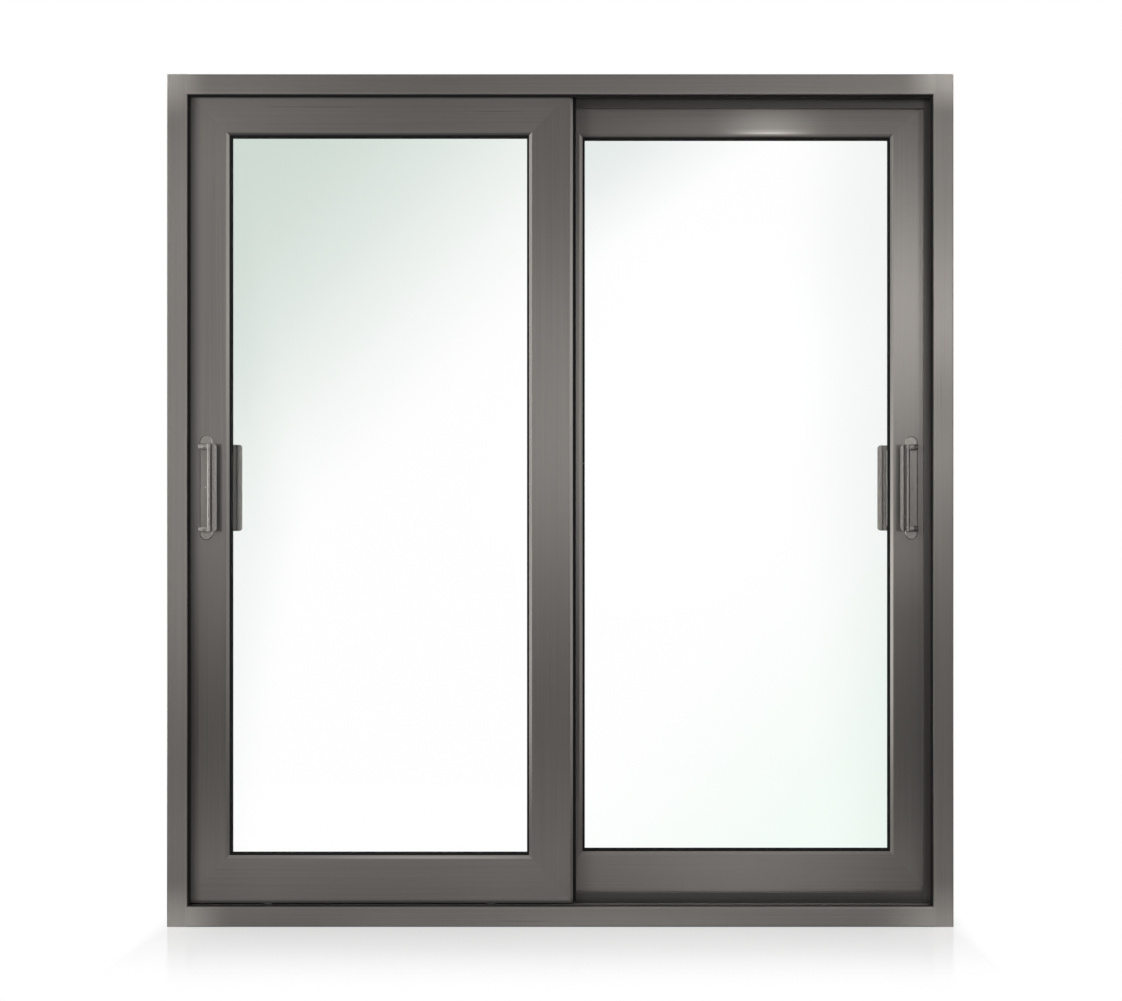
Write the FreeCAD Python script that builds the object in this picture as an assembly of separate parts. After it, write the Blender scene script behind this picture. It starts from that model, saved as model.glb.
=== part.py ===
import FreeCAD, Part
import math
import os

V = FreeCAD.Vector

# Glass sliding patio door: two glazed panels on two tracks in an extruded frame.
# X runs to the right along the tracks, Y from the front to the back, Z up.
# The origin is the middle of the sill's underside. All lengths are millimetres.

# Outer frame
frame_width = 1845.0
frame_height = 2000.0
frame_face = 48.0
frame_web = 24.0
frame_wall = 2.5
lip_depth = 10.0
lip_round = 2.5
fin_depth = 10.0
jamb_fin_reach = 14.0
head_fin_reach = 21.5
sill_fin_reach = 22.0

# Tracks and the panels' places in the depth of the frame
face_gap = 6.0
sash_depth = 44.0
pass_gap = 36.0
guide_width = 6.0
guide_reach = 26.0
rail_width = 8.0
rail_height = 26.5
rail_crown = 3.0
rail_flange_width = 20.0
rail_flange_thickness = 2.0
rail_end_gap = 1.0

# Panels
edge_gap = 12.0
head_gap = 11.0
rail_clearance = 3.5
meeting_overlap = 58.0
travel = 700.0
front_lock_width = 107.5
rear_lock_width = 103.5
front_meeting_width = 103.0
rear_meeting_width = 79.0
front_top_width = 105.5
rear_top_width = 100.0
front_bottom_width = 111.5
rear_bottom_width = 110.5
sash_wall = 3.0
edge_bevel = 6.0
top_channel = 40.0
bottom_channel = 62.0
guide_clearance = 5.0

# Glazing
sash_lip = 7.0
bevel_width = 7.0
bevel_depth = 6.0
glass_bite = 13.0
glass_edge_gap = 3.0
pane_thickness = 5.0
pane_gap = 14.0
gasket_show = 5.0
gasket_cover = 10.0
spacer_width = 11.0
spacer_inset = 1.0

# Pull handles
pull_height = 1030.0
plate_width = 30.0
plate_length = 246.0
plate_thickness = 4.0
plate_chamfer = 2.0
grip_width = 22.5
grip_length = 205.0
grip_thickness = 10.0
grip_corner = 8.0
ridge_width = 8.0
ridge_round = 3.5
groove_width = 4.5
groove_depth = 4.5
arm_height = 12.0
arm_depth = 9.0
arm_reach = 14.5
arm_round = 3.0
post_width = 9.0
pull_projection = 30.0
front_plate_from_edge = 54.0
front_grip_offset = 17.0
rear_plate_from_edge = 81.5
rear_grip_offset = 36.0

# Rollers and guides inside the panels' rails
roller_tread = 15.0
roller_flange = 18.0
roller_width = 16.0
roller_groove = 10.0
roller_seat_gap = 0.3
axle_radius = 4.0
axle_gap = 0.15
bracket_wall = 3.0
bracket_side_gap = 1.0
bracket_length = 70.0
bracket_foot = 6.0
carriage_inset = 90.0
guide_block_length = 60.0
guide_block_gap = 1.0
guide_block_drop = 5.0

# Seals, stops and lock plates
seal_show = 4.5
seal_cover = 8.0
seal_gap = 0.5
brush_base_width = 10.0
brush_base_depth = 3.0
brush_pile_width = 5.0
brush_gap = 1.0
brush_end_gap = 8.0
stop_length = 20.0
stop_gap = 5.0
stop_depth = 14.0
stop_drop = 19.0
lock_plate_width = 24.0
lock_plate_length = 200.0
lock_plate_thickness = 2.0
keeper_length = 120.0
keeper_thickness = 3.0
keeper_slot_width = 8.0
keeper_slot_length = 60.0

# Fixing holes through the frame
fixing_radius = 3.25
jamb_fixing_spacing = 1400.0
head_fixing_spacing = 1200.0
head_fixing_offset = 22.0

# Coordinates closer than this are taken as equal
coincident = 1e-6

# Sizes that follow from the ones above
half_width = frame_width / 2
frame_depth = 2 * (lip_depth + face_gap + sash_depth) + pass_gap
half_depth = frame_depth / 2
half_sash = sash_depth / 2
track_offset = (pass_gap + sash_depth) / 2
web_x = half_width - frame_web
lip_x = half_width - frame_face
ceiling_z = frame_height - frame_web
lip_top_z = frame_height - frame_face
rail_top = frame_web + rail_height
panel_lock_x = -(web_x - edge_gap)
panel_meeting_x = meeting_overlap / 2
panel_bottom = rail_top + rail_clearance
panel_top = ceiling_z - head_gap
rebate = glass_bite + glass_edge_gap
glass_unit = 2 * pane_thickness + pane_gap
gasket_thickness = (sash_depth - glass_unit) / 2 - sash_lip
front_widths = (front_lock_width, front_meeting_width, front_top_width, front_bottom_width)
rear_widths = (rear_lock_width, rear_meeting_width, rear_top_width, rear_bottom_width)
nodes = {}


def box(x0, x1, y0, y1, z0, z1):
    return Part.makeBox(x1 - x0, y1 - y0, z1 - z0, V(x0, y0, z0))


# Closed outline through (u, v, radius) corners; each radius is a tangent arc
def outline(corners, place):
    count = len(corners)
    edges = []
    starts, ends, middles = [], [], []
    for i, (u, v, radius) in enumerate(corners):
        corner = V(u, v, 0)
        before = V(*corners[i - 1][:2], 0) - corner
        after = V(*corners[(i + 1) % count][:2], 0) - corner
        before.normalize()
        after.normalize()
        half_angle = before.getAngle(after) / 2
        setback = radius / math.tan(half_angle)
        bisector = before + after
        bisector.normalize()
        starts.append(corner + before * setback)
        ends.append(corner + after * setback)
        middles.append(corner + bisector * (radius / math.sin(half_angle) - radius))
    for i in range(count):
        if corners[i][2] > 0:
            arc = Part.Arc(place(starts[i]), place(middles[i]), place(ends[i]))
            edges.append(arc.toShape())
        next_start = starts[(i + 1) % count]
        if ends[i].distanceToPoint(next_start) > coincident:
            edges.append(Part.makeLine(place(ends[i]), place(next_start)))
    return Part.Wire(edges)


def extrude(corners, place, along):
    return Part.Face(outline(corners, place)).extrude(along)


def sharp(points):
    return [(u, v, 0) for u, v in points]


def rectangle(u0, u1, v0, v1):
    return sharp([(u0, v0), (u1, v0), (u1, v1), (u0, v1)])


# Extruded frame profile: u from the frame's outer face inwards, v through its depth.
# Two lips and a middle fin stand on a web; every limb is hollow. Lip edges are softened.
def frame_outline(fin_reach):
    half_fin = fin_depth / 2
    inner_lip = half_depth - lip_depth
    fin_edge = frame_face + fin_reach
    return [
        (0, -half_depth, lip_round), (frame_face, -half_depth, lip_round),
        (frame_face, -inner_lip, 0), (frame_web, -inner_lip, 0), (frame_web, -half_fin, 0),
        (fin_edge, -half_fin, 0), (fin_edge, half_fin, 0), (frame_web, half_fin, 0),
        (frame_web, inner_lip, 0), (frame_face, inner_lip, 0),
        (frame_face, half_depth, lip_round), (0, half_depth, lip_round)]


def frame_chambers(fin_reach):
    wall = frame_wall
    inner_lip = half_depth - lip_depth
    chambers = []
    for side in (-1, 1):
        near, far = sorted((side * wall / 2, side * (half_depth - wall)))
        chambers.append(rectangle(wall, frame_web - wall, near, far))
        near, far = sorted((side * (inner_lip + wall), side * (half_depth - wall)))
        chambers.append(rectangle(frame_web, frame_face - wall, near, far))
    half_fin = fin_depth / 2 - wall
    fin_end = frame_face + fin_reach - wall
    chambers.append(rectangle(frame_web, fin_end, -half_fin, half_fin))
    return chambers


def jamb_place(side):
    return lambda p: V(side * (half_width - p.x), p.y, 0)


def jamb_block(side):
    return extrude(frame_outline(jamb_fin_reach), jamb_place(side), V(0, 0, frame_height))


def jamb(side):
    shape = jamb_block(side)
    for chamber in frame_chambers(jamb_fin_reach):
        shape = shape.cut(extrude(chamber, jamb_place(side), V(0, 0, frame_height)))
    for y in (-track_offset, track_offset):
        for step in (-0.5, 0.5):
            z = frame_height / 2 + step * jamb_fixing_spacing
            start = V(side * half_width, y, z)
            hole = Part.makeCylinder(fixing_radius, frame_web, start, V(-side, 0, 0))
            shape = shape.cut(hole)
    return shape


# A head or sill runs from web to web and is coped round both jambs
def cross_member(fin_reach, place):
    along = V(2 * web_x, 0, 0)
    shape = extrude(frame_outline(fin_reach), place, along)
    for chamber in frame_chambers(fin_reach):
        shape = shape.cut(extrude(chamber, place, along))
    for side in (-1, 1):
        shape = shape.cut(jamb_block(side))
    return shape


def head():
    shape = cross_member(head_fin_reach, lambda p: V(-web_x, p.y, frame_height - p.x))
    for track_y in (-track_offset, track_offset):
        guide = box(-web_x, web_x, track_y - guide_width / 2, track_y + guide_width / 2,
                    ceiling_z - guide_reach, ceiling_z)
        shape = shape.fuse(guide)
    for x in (-head_fixing_spacing / 2, head_fixing_spacing / 2):
        start = V(x, head_fixing_offset, ceiling_z)
        shape = shape.cut(Part.makeCylinder(fixing_radius, frame_web, start))
    return shape.removeSplitter()


def sill():
    return cross_member(sill_fin_reach, lambda p: V(-web_x, p.y, p.x))


# Raised track: a foot on the sill's web and a stem with a rounded crown
def track_rail(track_y):
    end_x = web_x - rail_end_gap
    half_foot = rail_flange_width / 2
    half_stem = rail_width / 2
    foot_top = frame_web + rail_flange_thickness
    corners = [
        (-half_foot, frame_web, 0), (half_foot, frame_web, 0), (half_foot, foot_top, 0),
        (half_stem, foot_top, 0), (half_stem, rail_top, rail_crown),
        (-half_stem, rail_top, rail_crown),
        (-half_stem, foot_top, 0), (-half_foot, foot_top, 0)]
    return extrude(corners, lambda p: V(-end_x, track_y + p.x, p.y), V(2 * end_x, 0, 0))


# Weather seal behind the jambs' and head's lips, open at the sill
def lip_seal(side):
    reach_x = lip_x - seal_show
    cover_x = lip_x + seal_cover
    reach_z = lip_top_z - seal_show
    cover_z = lip_top_z + seal_cover
    lip_y = half_depth - lip_depth
    panel_y = track_offset + half_sash + seal_gap
    y0, y1 = sorted((side * lip_y, side * panel_y))
    outer = box(-cover_x, cover_x, y0, y1, frame_face, cover_z)
    return outer.cut(box(-reach_x, reach_x, y0, y1, frame_face, reach_z))


# Rubber-faced blocks under the head's web that end each panel's travel
def travel_stops():
    stop_x = panel_meeting_x + travel + stop_gap
    blocks = []
    for side in (-1, 1):
        near = side * (track_offset - guide_width / 2)
        y0, y1 = sorted((near, near - side * stop_depth))
        x0, x1 = sorted((-side * stop_x, -side * (stop_x + stop_length)))
        blocks.append(box(x0, x1, y0, y1, ceiling_z - stop_drop, ceiling_z))
    return Part.makeCompound(blocks)


def keeper(side):
    track_y = side * track_offset
    x0, x1 = sorted((side * web_x, side * (web_x - keeper_thickness)))
    half = lock_plate_width / 2
    plate = box(x0, x1, track_y - half, track_y + half,
                pull_height - keeper_length / 2, pull_height + keeper_length / 2)
    slot_half = keeper_slot_width / 2
    slot_z = keeper_slot_length / 2
    return plate.cut(box(x0, x1, track_y - slot_half, track_y + slot_half,
                         pull_height - slot_z, pull_height + slot_z))


# Sash profile: u from the panel's outer edge to the glass, v through its depth.
# channel is the depth of the groove in a rail's outer edge; a stile has bevels instead.
def sash_outline(width, channel):
    inner = width - rebate
    glass_side = [
        (width - bevel_width, -half_sash), (width, -half_sash + bevel_depth),
        (width, -half_sash + sash_lip), (inner, -half_sash + sash_lip), (inner, half_sash)]
    if channel:
        half = half_sash - sash_wall
        outer_side = [(0, half_sash), (0, half), (channel, half),
                      (channel, -half), (0, -half), (0, -half_sash)]
    else:
        half = half_sash - edge_bevel
        outer_side = [(edge_bevel, half_sash), (0, half), (0, -half), (edge_bevel, -half_sash)]
    return sharp(glass_side + outer_side)


def sash_member(width, channel, place, along, mitre):
    shape = extrude(sash_outline(width, channel), place, along)
    start = (channel or edge_bevel) + sash_wall
    half = half_sash - sash_wall
    chamber = rectangle(start, width - rebate - sash_wall, -half, half)
    shape = shape.cut(extrude(chamber, place, along))
    back = sash_depth
    wedge = extrude(sharp(mitre), lambda p: V(p.x, -back, p.y), V(0, 2 * back, 0))
    return shape.common(wedge)


# Edges of a panel's opening; widths are those of its lock stile, meeting stile, top and bottom
def opening(widths):
    lock, meeting, top, bottom = widths
    return panel_lock_x + lock, panel_meeting_x - meeting, panel_bottom + bottom, panel_top - top


# The four mitred members of a panel
def sash_members(widths):
    lock_width, meeting_width, top_width, bottom_width = widths
    x0, x1 = panel_lock_x, panel_meeting_x
    z0, z1 = panel_bottom, panel_top
    u0, u1, w0, w1 = opening(widths)
    upward = V(0, 0, z1 - z0)
    across = V(x1 - x0, 0, 0)
    lock = sash_member(lock_width, 0, lambda p: V(x0 + p.x, p.y, z0), upward,
                       [(x0, z0), (u0, w0), (u0, w1), (x0, z1)])
    meeting = sash_member(meeting_width, 0, lambda p: V(x1 - p.x, p.y, z0), upward,
                          [(x1, z0), (u1, w0), (u1, w1), (x1, z1)])
    top = sash_member(top_width, top_channel, lambda p: V(x0, p.y, z1 - p.x), across,
                      [(x0, z1), (u0, w1), (u1, w1), (x1, z1)])
    bottom = sash_member(bottom_width, bottom_channel,
                         lambda p: V(x0, p.y, z0 + p.x), across,
                         [(x0, z0), (u0, w0), (u1, w0), (x1, z0)])
    slot_half = guide_width / 2 + guide_clearance
    slot_floor = ceiling_z - guide_reach - guide_clearance
    slot = box(x0, x1, -slot_half, slot_half, slot_floor, z1)
    return {"lock_stile": lock.cut(slot), "meeting_stile": meeting.cut(slot),
            "top_rail": top, "bottom_rail": bottom}


# Flat ring round the panel's opening, from grow outside its edge to inset inside it
def ring(widths, grow, inset, y0, y1):
    x0, x1, z0, z1 = opening(widths)
    outer = box(x0 - grow, x1 + grow, y0, y1, z0 - grow, z1 + grow)
    return outer.cut(box(x0 + inset, x1 - inset, y0, y1, z0 + inset, z1 - inset))


def glass_panes(widths):
    x0, x1, z0, z1 = opening(widths)
    panes = []
    for y0 in (-glass_unit / 2, pane_gap / 2):
        panes.append(box(x0 - glass_bite, x1 + glass_bite, y0, y0 + pane_thickness,
                         z0 - glass_bite, z1 + glass_bite))
    return Part.makeCompound(panes)


def spacer_bar(widths):
    outer = glass_bite - spacer_inset
    return ring(widths, outer, spacer_width - outer, -pane_gap / 2, pane_gap / 2)


def gaskets(widths):
    near = glass_unit / 2
    far = near + gasket_thickness
    front = ring(widths, gasket_cover, gasket_show, -far, -near)
    rear = ring(widths, gasket_cover, gasket_show, near, far)
    return Part.makeCompound([front, rear])


# Bevelled bead that clamps the glass from the back
def glazing_bead(widths):
    x0, x1, z0, z1 = opening(widths)
    bead = ring(widths, rebate, 0, half_sash - sash_lip, half_sash)
    sections = []
    for grow, y in ((0, half_sash - bevel_depth), (bevel_width, half_sash)):
        corners = rectangle(x0 - grow, x1 + grow, z0 - grow, z1 + grow)
        sections.append(outline(corners, lambda p, y=y: V(p.x, y, p.y)))
    return bead.cut(Part.makeLoft(sections, True, True))


# Backplate with round ends and a chamfered rim, on a face that looks along side
def pull_plate(centre_x, side):
    half = plate_width / 2
    reach = plate_length / 2
    face_y = side * half_sash
    corners = [(centre_x - half, pull_height - reach, half), (centre_x + half, pull_height - reach, half),
               (centre_x + half, pull_height + reach, half), (centre_x - half, pull_height + reach, half)]
    plate = extrude(corners, lambda p: V(p.x, face_y, p.y), V(0, side * plate_thickness, 0))
    outer_y = face_y + side * plate_thickness
    rim = [edge for edge in plate.Edges
           if all(abs(vertex.Y - outer_y) < coincident for vertex in edge.Vertexes)]
    return plate.makeChamfer(plate_chamfer, rim)


# Grip beside the plate: two round-edged ridges with a groove between them.
# Arms on posts carry its ends from the plate; toward is the offset to the glass.
def pull(centre_x, toward, side):
    half = grip_length / 2
    near = centre_x + toward - grip_width / 2
    far = near + grip_width
    groove_near = near + ridge_width
    groove_far = groove_near + groove_width
    front = half_sash + pull_projection
    back = front - grip_thickness
    floor = front - groove_depth
    profile = [
        (near, back, 0), (far, back, 0), (far, front, ridge_round),
        (groove_far, front, ridge_round), (groove_far, floor, 0), (groove_near, floor, 0),
        (groove_near, front, ridge_round), (near, front, ridge_round)]
    shape = extrude(profile, lambda p: V(p.x, side * p.y, pull_height - half), V(0, 0, grip_length))
    face = [(near, -half, 0), (far, -half, grip_corner), (far, half, grip_corner), (near, half, 0)]
    shape = shape.common(extrude(face, lambda p: V(p.x, side * back, pull_height + p.y),
                                 V(0, side * grip_thickness, 0)))
    arm_end = centre_x - arm_reach
    seat = half_sash + plate_thickness
    for step in (-1, 1):
        z = pull_height + step * (half - arm_height / 2)
        top, bottom = z + arm_height / 2, z - arm_height / 2
        section = [(back, bottom, 0), (back + arm_depth, bottom, arm_round),
                   (back + arm_depth, top, arm_round), (back, top, 0)]
        arm = extrude(section, lambda p: V(arm_end, side * p.x, p.y), V(groove_near - arm_end, 0, 0))
        y0, y1 = sorted((side * seat, side * (back + arm_depth / 2)))
        post = box(centre_x - post_width / 2, centre_x + post_width / 2, y0, y1,
                   z - post_width / 2, z + post_width / 2)
        shape = shape.fuse(arm.fuse(post))
    return shape.removeSplitter()


def carriage_centres(widths):
    x0, x1 = opening(widths)[:2]
    return (x0 + carriage_inset, x1 - carriage_inset)


def roller_axles(widths):
    z = rail_top + roller_seat_gap + roller_tread
    return [V(centre, 0, z) for centre in carriage_centres(widths)]


# Grooved wheels, turned about their axles
def rollers(widths):
    half = roller_width / 2
    groove = roller_groove / 2
    bore = axle_radius + axle_gap
    corners = sharp([(-half, bore), (half, bore), (half, roller_flange), (groove, roller_tread),
                     (-groove, roller_tread), (-half, roller_flange)])
    wheels = []
    for axle in roller_axles(widths):
        profile = Part.Face(outline(corners, lambda p: axle + V(0, p.x, p.y)))
        wheels.append(profile.revolve(axle, V(0, 1, 0), 360))
    return Part.makeCompound(wheels)


# Carriages: two cheeks under a top plate, with the axles between them
def roller_brackets(widths):
    inside = roller_width / 2 + bracket_side_gap
    outside = inside + bracket_wall
    top = panel_bottom + bottom_channel
    foot = panel_bottom + bracket_foot
    carriages = []
    for axle in roller_axles(widths):
        x0, x1 = axle.x - bracket_length / 2, axle.x + bracket_length / 2
        shape = box(x0, x1, -outside, outside, foot, top)
        shape = shape.cut(box(x0, x1, -inside, inside, foot, top - bracket_wall))
        pin = Part.makeCylinder(axle_radius, 2 * outside, axle - V(0, outside, 0), V(0, 1, 0))
        carriages.append(shape.fuse(pin).removeSplitter())
    return Part.makeCompound(carriages)


# Slotted blocks in the top rail's channel that run along the head's guide
def top_guides(widths):
    half = half_sash - sash_wall
    slot_half = guide_width / 2 + guide_block_gap
    floor = panel_top - top_channel
    slot_floor = ceiling_z - guide_reach - guide_clearance
    blocks = []
    for centre in carriage_centres(widths):
        x0, x1 = centre - guide_block_length / 2, centre + guide_block_length / 2
        block = box(x0, x1, -half, half, floor, panel_top - guide_block_drop)
        blocks.append(block.cut(box(x0, x1, -slot_half, slot_half, slot_floor, panel_top)))
    return Part.makeCompound(blocks)


# Pile strip on the meeting stile; the two panels' strips meet in the middle of the gap
def meeting_brush(side):
    pile = (pass_gap - brush_gap) / 2
    half_base = brush_base_width / 2
    half_pile = brush_pile_width / 2
    face_y = side * half_sash
    corners = sharp([(-half_base, 0), (half_base, 0), (half_base, brush_base_depth),
                     (half_pile, brush_base_depth), (half_pile, pile), (-half_pile, pile),
                     (-half_pile, brush_base_depth), (-half_base, brush_base_depth)])
    z0 = frame_face + sill_fin_reach + brush_end_gap
    z1 = lip_top_z - head_fin_reach - brush_end_gap
    return extrude(corners, lambda p: V(p.x, face_y + side * p.y, z0), V(0, 0, z1 - z0))


def lock_face():
    half = lock_plate_width / 2
    return box(panel_lock_x - lock_plate_thickness, panel_lock_x, -half, half,
               pull_height - lock_plate_length / 2, pull_height + lock_plate_length / 2)


# One panel as the left one, with its depth centred on Y = 0
def panel(widths, brush_side):
    front_x = panel_lock_x + front_plate_from_edge
    rear_x = panel_lock_x + rear_plate_from_edge
    pieces = sash_members(widths)
    pieces.update({
        "glass": glass_panes(widths),
        "spacer": spacer_bar(widths),
        "gasket": gaskets(widths),
        "glazing_bead": glazing_bead(widths),
        "front_plate": pull_plate(front_x, -1),
        "front_pull": pull(front_x, front_grip_offset, -1),
        "rear_plate": pull_plate(rear_x, 1),
        "rear_pull": pull(rear_x, rear_grip_offset, 1),
        "rollers": rollers(widths),
        "roller_brackets": roller_brackets(widths),
        "top_guides": top_guides(widths),
        "meeting_brush": meeting_brush(brush_side),
        "lock_face": lock_face()})
    return pieces


nodes["left_jamb"] = jamb(-1)
nodes["right_jamb"] = jamb(1)
nodes["head"] = head()
nodes["sill"] = sill()
nodes["front_track_rail"] = track_rail(-track_offset)
nodes["rear_track_rail"] = track_rail(track_offset)
nodes["front_seal"] = lip_seal(-1)
nodes["rear_seal"] = lip_seal(1)
nodes["travel_stops"] = travel_stops()
nodes["left_keeper"] = keeper(-1)
nodes["right_keeper"] = keeper(1)

for name, shape in panel(front_widths, 1).items():
    nodes["left_" + name] = shape.translated(V(0, -track_offset, 0))
for name, shape in panel(rear_widths, -1).items():
    mirrored = shape.mirror(V(0, 0, 0), V(1, 0, 0))
    nodes["right_" + name] = mirrored.translated(V(0, track_offset, 0))

os.makedirs("parts", exist_ok=True)
for name, shape in nodes.items():
    shape.exportStep("parts/" + name + ".step")
    print(name, len(shape.Solids), "solids", shape.isValid(), round(shape.Volume / 1000), "cm3")
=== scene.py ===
import bpy
import bmesh
import math
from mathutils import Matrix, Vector


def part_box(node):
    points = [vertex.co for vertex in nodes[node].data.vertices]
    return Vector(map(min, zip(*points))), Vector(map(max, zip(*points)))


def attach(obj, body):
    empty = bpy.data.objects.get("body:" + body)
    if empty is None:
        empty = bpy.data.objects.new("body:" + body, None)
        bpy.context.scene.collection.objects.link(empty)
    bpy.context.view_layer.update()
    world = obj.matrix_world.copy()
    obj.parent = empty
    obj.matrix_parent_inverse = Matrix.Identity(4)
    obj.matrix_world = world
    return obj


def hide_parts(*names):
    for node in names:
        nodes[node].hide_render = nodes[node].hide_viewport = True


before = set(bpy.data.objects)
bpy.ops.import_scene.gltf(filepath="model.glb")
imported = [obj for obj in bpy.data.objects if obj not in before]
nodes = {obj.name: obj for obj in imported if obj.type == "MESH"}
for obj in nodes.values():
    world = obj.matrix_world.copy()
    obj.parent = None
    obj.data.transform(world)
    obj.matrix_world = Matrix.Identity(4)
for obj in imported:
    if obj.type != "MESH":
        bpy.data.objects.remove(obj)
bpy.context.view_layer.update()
scene = bpy.context.scene
scene.view_settings.view_transform = "Standard"
print("door loaded,", len(nodes), "CAD nodes")

# Lengths are metres, as in the frame
millimetre = 0.001
quarterTurn = math.radians(90)

# The sockets of a Mix node that mixes colours
mixFirst = 6
mixSecond = 7
mixResult = 2


# A socket of a node tree; arithmetic on it adds Math nodes
class Wire:
    def __init__(self, tree, socket=None):
        self.tree = tree
        self.socket = socket

    # kind is the node type without its prefix; settings go in before the sockets
    def node(self, kind, settings=None, inputs=None, output=0):
        made = self.tree.nodes.new("ShaderNode" + kind)
        for name, value in (settings or {}).items():
            setattr(made, name, value)
        for name, value in (inputs or {}).items():
            if isinstance(value, Wire):
                self.tree.links.new(value.socket, made.inputs[name])
            else:
                made.inputs[name].default_value = value
        return Wire(self.tree, made.outputs[output] if made.outputs else None)

    def math(self, operation, first, second=0.0):
        return self.node("Math", {"operation": operation}, {0: first, 1: second})

    def __add__(self, other):
        return self.math("ADD", self, other)

    def __radd__(self, other):
        return self.math("ADD", other, self)

    def __sub__(self, other):
        return self.math("SUBTRACT", self, other)

    def __rsub__(self, other):
        return self.math("SUBTRACT", other, self)

    def __mul__(self, other):
        return self.math("MULTIPLY", self, other)

    def size(self):
        return self.math("ABSOLUTE", self)

    def atLeast(self, other):
        return self.math("MAXIMUM", self, other)

    # 0 at low, 1 at high, eased between
    def ease(self, low, high):
        return self.node("MapRange", {"interpolation_type": "SMOOTHSTEP"},
                         {"Value": self, "From Min": low, "From Max": high})

    # The parts of a vector along X, Y and Z
    def axes(self):
        split = self.node("SeparateXYZ", None, {"Vector": self}).socket.node
        return [Wire(self.tree, part) for part in split.outputs]

    # Noise about 0, stretched by a Mapping node; scale is features per metre along X, Y and Z
    def grain(self, scale, detail):
        place = self.node("Mapping", None, {"Vector": self, "Scale": scale})
        return self.node("TexNoise", None, {"Vector": place, "Scale": 1.0, "Detail": detail}, "Fac") - 0.5

    def blendTo(self, first, second):
        return self.node("Mix", {"data_type": "RGBA"},
                         {"Factor": self, mixFirst: (*first, 1), mixSecond: (*second, 1)}, mixResult)


# A new material, the wire that its nodes are made from, and the place on the object
def newFinish(name):
    material = bpy.data.materials.new(name)
    material.use_nodes = True
    material.node_tree.nodes.clear()
    start = Wire(material.node_tree)
    return material, start, start.node("TexCoord", None, None, "Object")


def shaded(colour, factor):
    return tuple(channel * factor for channel in colour)


# Brushed bronze extrusions: long faint streaks along the grain. drawn is how far the noise is
# stretched along it, and headroom is the highest level of tone that is kept
bronze = {
    "colour": (0.205, 0.191, 0.178),
    "metallic": 0.65,
    "roughness": 0.29,
    "roughSpread": 0.06,
    "anisotropic": 0.66,
    "turn": {"Z": 0.0, "X": 0.25},
    "drawn": 0.006,
    "streakScale": 330,
    "fineScale": 900,
    "mottleScale": 1.7,
    "streak": 0.30,
    "mottle": 0.12,
    "bump": 0.03,
    "bumpDepth": 0.0002,
    "headroom": 4.0,
}

# The frame's faces carry painted light and shade: painted shade at their outer arris, a painted highlight
# near the inner one and painted shade round it, and painted shade in the channels behind the lips;
# channel is how much of the tone is left in the upright and the level channels
frameEdges = {
    "half": 0.9225,
    "top": 2.0,
    "lip": 0.0665,
    "face": 0.048,
    "arris": 0.0035,
    "arrisEnd": 0.0007,
    "arrisShade": 0.35,
    "innerLight": 0.16,
    "innerRound": 0.0030,
    "roundEnd": 0.0009,
    "roundShade": 0.55,
    "channel": {"Z": 0.46, "X": 0.30},
}
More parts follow.
